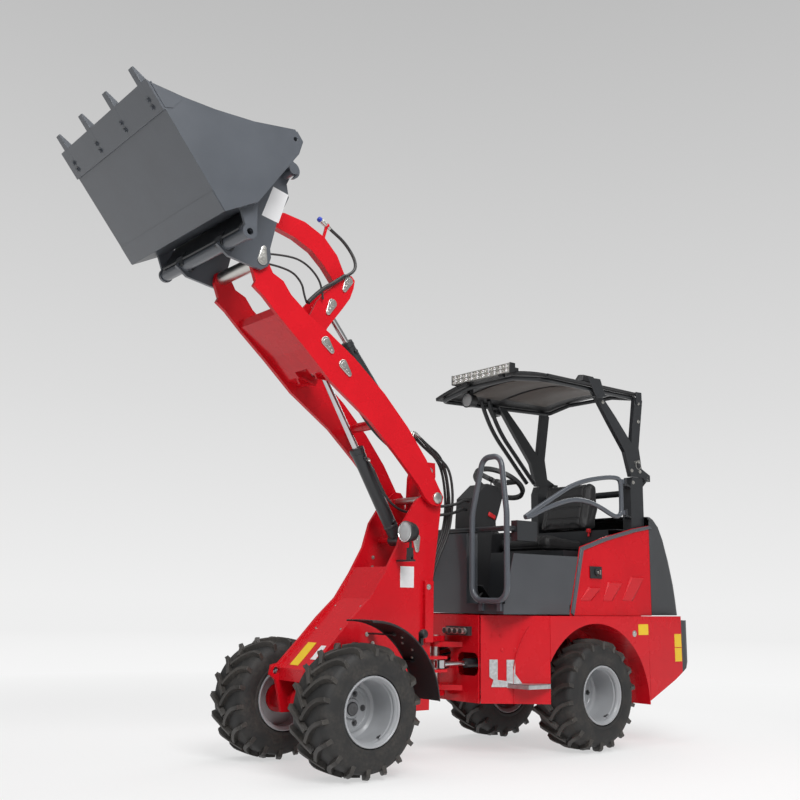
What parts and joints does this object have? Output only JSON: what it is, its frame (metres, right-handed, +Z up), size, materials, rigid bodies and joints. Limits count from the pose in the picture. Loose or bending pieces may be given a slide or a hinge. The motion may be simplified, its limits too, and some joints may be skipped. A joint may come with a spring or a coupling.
{
  "type": "compact wheel loader",
  "caption": "Compact articulated wheel loader with raised boom, toothed bucket on a quick hitch, open cab with folding canopy and side-hinged gate.",
  "frame": {"origin": "middle of the overall length and width, at the foot of the tyres", "axes": "+X forward, +Y to the driver's left, +Z up"},
  "size_m": [4.1863, 1.1, 3.3072],
  "materials": {
    "red_paint": "gloss",
    "grey_paint": "satin",
    "black_paint": "satin",
    "silver_paint": "satin",
    "chrome": "polished",
    "zinc": "satin",
    "tyre_rubber": "matte",
    "black_plastic": "matte",
    "grey_plastic": "matte",
    "seat_cover": "matte",
    "lamp": "gloss",
    "hose_rubber": "matte",
    "engine_black": "matte"
  },
  "bodies": {
    "rear": {"rear_frame": "red_paint", "rear_fenders": "red_paint", "rear_body": "red_paint", "counterweight": "grey_plastic", "step": "zinc", "couplers": "engine_black", "grab_loop": "grey_paint", "articulation_pin": "zinc", "rear_axle": "red_paint", "engine": "engine_black", "cab_floor": "grey_paint", "cab_front": "grey_paint", "cab_sides": "grey_paint", "seat_pedestal": "black_paint", "seat_cushion": "seat_cover", "seat_back": "seat_cover", "steering_column": "black_plastic", "steering_wheel": "black_plastic", "side_panels": "red_paint", "handrails": "black_paint", "rops_frame": "black_paint"},
    "gate": {"side_gate": "grey_paint"},
    "hood": {"engine_hood": "grey_plastic"},
    "canopy": {"canopy_frame": "black_paint", "roof": "black_plastic", "light_bar": "lamp", "work_light": "lamp"},
    "front": {"tower_plates": "red_paint", "tower_cover": "red_paint", "tower_braces": "red_paint", "front_yoke": "red_paint", "front_axle": "red_paint", "mudguards": "black_plastic", "headlights": "lamp"},
    "boom": {"boom": "red_paint", "boom_pins": "zinc"},
    "rocker_pin": {"rocker_pin": "zinc"},
    "rocker": {"rocker": "red_paint"},
    "link_pin": {"link_pin": "zinc"},
    "link": {"tilt_link": "red_paint", "link_hose": "hose_rubber"},
    "hitch_pins": {"hitch_pins": "zinc"},
    "hitch": {"hitch": "grey_paint", "bucket": "grey_paint"},
    "lift_barrel": {"lift_barrel": "black_paint"},
    "lift_rod": {"lift_rod": "chrome"},
    "tilt_base_pin": {"tilt_base_pin": "zinc"},
    "tilt_barrel": {"tilt_barrel": "black_paint"},
    "tilt_rod": {"tilt_rod": "chrome"},
    "steer_barrel": {"steer_barrel": "black_paint"},
    "steer_rod": {"steer_rod": "chrome"},
    "wheel_front_left": {"tyre_front_left": "tyre_rubber", "rim_front_left": "silver_paint"},
    "wheel_front_right": {"tyre_front_right": "tyre_rubber", "rim_front_right": "silver_paint"},
    "wheel_rear_left": {"tyre_rear_left": "tyre_rubber", "rim_rear_left": "silver_paint"},
    "wheel_rear_right": {"tyre_rear_right": "tyre_rubber", "rim_rear_right": "silver_paint"}
  },
  "joints": [
    {"name": "articulation", "type": "hinge", "parent": "rear", "child": "front", "pos_m": [-0.221, 0, 0.5], "axis": [0, 0, 1], "range_deg": [-40, 40]},
    {"name": "boom", "type": "hinge", "parent": "front", "child": "boom", "pos_m": [-0.049, 0, 1.461], "axis": [0, -1, 0], "range_deg": [-80, 4]},
    {"name": "lift_barrel", "type": "hinge", "parent": "front", "child": "lift_barrel", "pos_m": [0.079, 0, 1.22], "axis": [0, -1, 0], "range_deg": [-84.68, 4.42]},
    {"name": "lift_rod", "type": "slide", "parent": "lift_barrel", "child": "lift_rod", "axis": [0.5234, 0, 0.8521], "range_m": [-0.3458, 0.0192]},
    {"name": "rocker_pin", "type": "hinge", "parent": "boom", "child": "rocker_pin", "pos_m": [0.771, 0, 2.259], "axis": [0, -1, 0], "range_deg": [-2.57, 47.5]},
    {"name": "hitch_pins", "type": "hinge", "parent": "boom", "child": "hitch_pins", "pos_m": [1.208, 0, 2.625], "axis": [0, -1, 0], "range_deg": [-3.96, 75.32]},
    {"name": "tilt", "type": "hinge", "parent": "hitch_pins", "child": "hitch", "pos_m": [1.208, 0, 2.625], "axis": [0, 1, 0], "range_deg": [-5, 90]},
    {"name": "rocker", "type": "hinge", "parent": "rocker_pin", "child": "rocker", "pos_m": [0.771, 0, 2.259], "axis": [0, -1, 0], "range_deg": [-47.6, 2.83]},
    {"name": "link_pin", "type": "hinge", "parent": "rocker", "child": "link_pin", "pos_m": [0.529, 0, 2.69], "axis": [0, -1, 0], "range_deg": [-52.6, 2.82]},
    {"name": "link", "type": "hinge", "parent": "link_pin", "child": "link", "pos_m": [0.529, 0, 2.69], "axis": [0, -1, 0], "range_deg": [-1.54, 24.4]},
    {"name": "tilt_base_pin", "type": "hinge", "parent": "front", "child": "tilt_base_pin", "pos_m": [-0.121, 0, 1.64], "axis": [0, -1, 0], "range_deg": [-77.6, 4.07]},
    {"name": "tilt_barrel", "type": "hinge", "parent": "tilt_base_pin", "child": "tilt_barrel", "pos_m": [-0.121, 0, 1.64], "axis": [0, -1, 0], "range_deg": [-7.8, 0.62]},
    {"name": "tilt_rod", "type": "slide", "parent": "tilt_barrel", "child": "tilt_rod", "axis": [0.6485, 0, 0.7612], "range_m": [-0.0118, 0.1786]},
    {"name": "steer_barrel", "type": "hinge", "parent": "rear", "child": "steer_barrel", "pos_m": [-0.606, 0.195, 0.52], "axis": [0, 0, 1], "range_deg": [-8.72, 8.72]},
    {"name": "steer_rod", "type": "slide", "parent": "steer_barrel", "child": "steer_rod", "axis": [1, 0, 0], "range_m": [-0.1339, 0.1339]},
    {"name": "gate", "type": "hinge", "parent": "rear", "child": "gate", "pos_m": [-1.416, 0.5, 1.5], "axis": [0, 0, 1], "range_deg": [0, 100]},
    {"name": "canopy", "type": "hinge", "parent": "rear", "child": "canopy", "pos_m": [-1.731, 0, 1.7], "axis": [0, 1, 0], "range_deg": [-105, 0]},
    {"name": "hood", "type": "hinge", "parent": "rear", "child": "hood", "pos_m": [-1.693, 0, 1.422], "axis": [0, 1, 0], "range_deg": [0, 60]},
    {"name": "wheel_front_left", "type": "hinge", "parent": "front", "child": "wheel_front_left", "pos_m": [0.649, 0.3975, 0.33], "axis": [0, 1, 0], "continuous": true},
    {"name": "wheel_front_right", "type": "hinge", "parent": "front", "child": "wheel_front_right", "pos_m": [0.649, -0.3975, 0.33], "axis": [0, 1, 0], "continuous": true},
    {"name": "wheel_rear_left", "type": "hinge", "parent": "rear", "child": "wheel_rear_left", "pos_m": [-1.091, 0.3975, 0.33], "axis": [0, 1, 0], "continuous": true},
    {"name": "wheel_rear_right", "type": "hinge", "parent": "rear", "child": "wheel_rear_right", "pos_m": [-1.091, -0.3975, 0.33], "axis": [0, 1, 0], "continuous": true}
  ],
  "couplings": [
    {"joint": "lift_barrel", "follows": "boom", "ratio": 1.056},
    {"joint": "lift_rod", "follows": "boom", "m_per_rad": 0.2462},
    {"joint": "rocker_pin", "follows": "boom", "ratio": -0.5913},
    {"joint": "hitch_pins", "follows": "boom", "ratio": -0.939},
    {"joint": "link_pin", "follows": "boom", "ratio": 0.655},
    {"joint": "tilt_base_pin", "follows": "boom", "ratio": 0.9675},
    {"joint": "rocker", "follows": "tilt", "ratio": -0.5267},
    {"joint": "link", "follows": "tilt", "ratio": 0.2689},
    {"joint": "tilt_barrel", "follows": "tilt", "ratio": -0.0844},
    {"joint": "tilt_rod", "follows": "tilt", "m_per_rad": 0.1124},
    {"joint": "steer_barrel", "follows": "articulation", "ratio": 0.213},
    {"joint": "steer_rod", "follows": "articulation", "m_per_rad": -0.189}
  ]
}
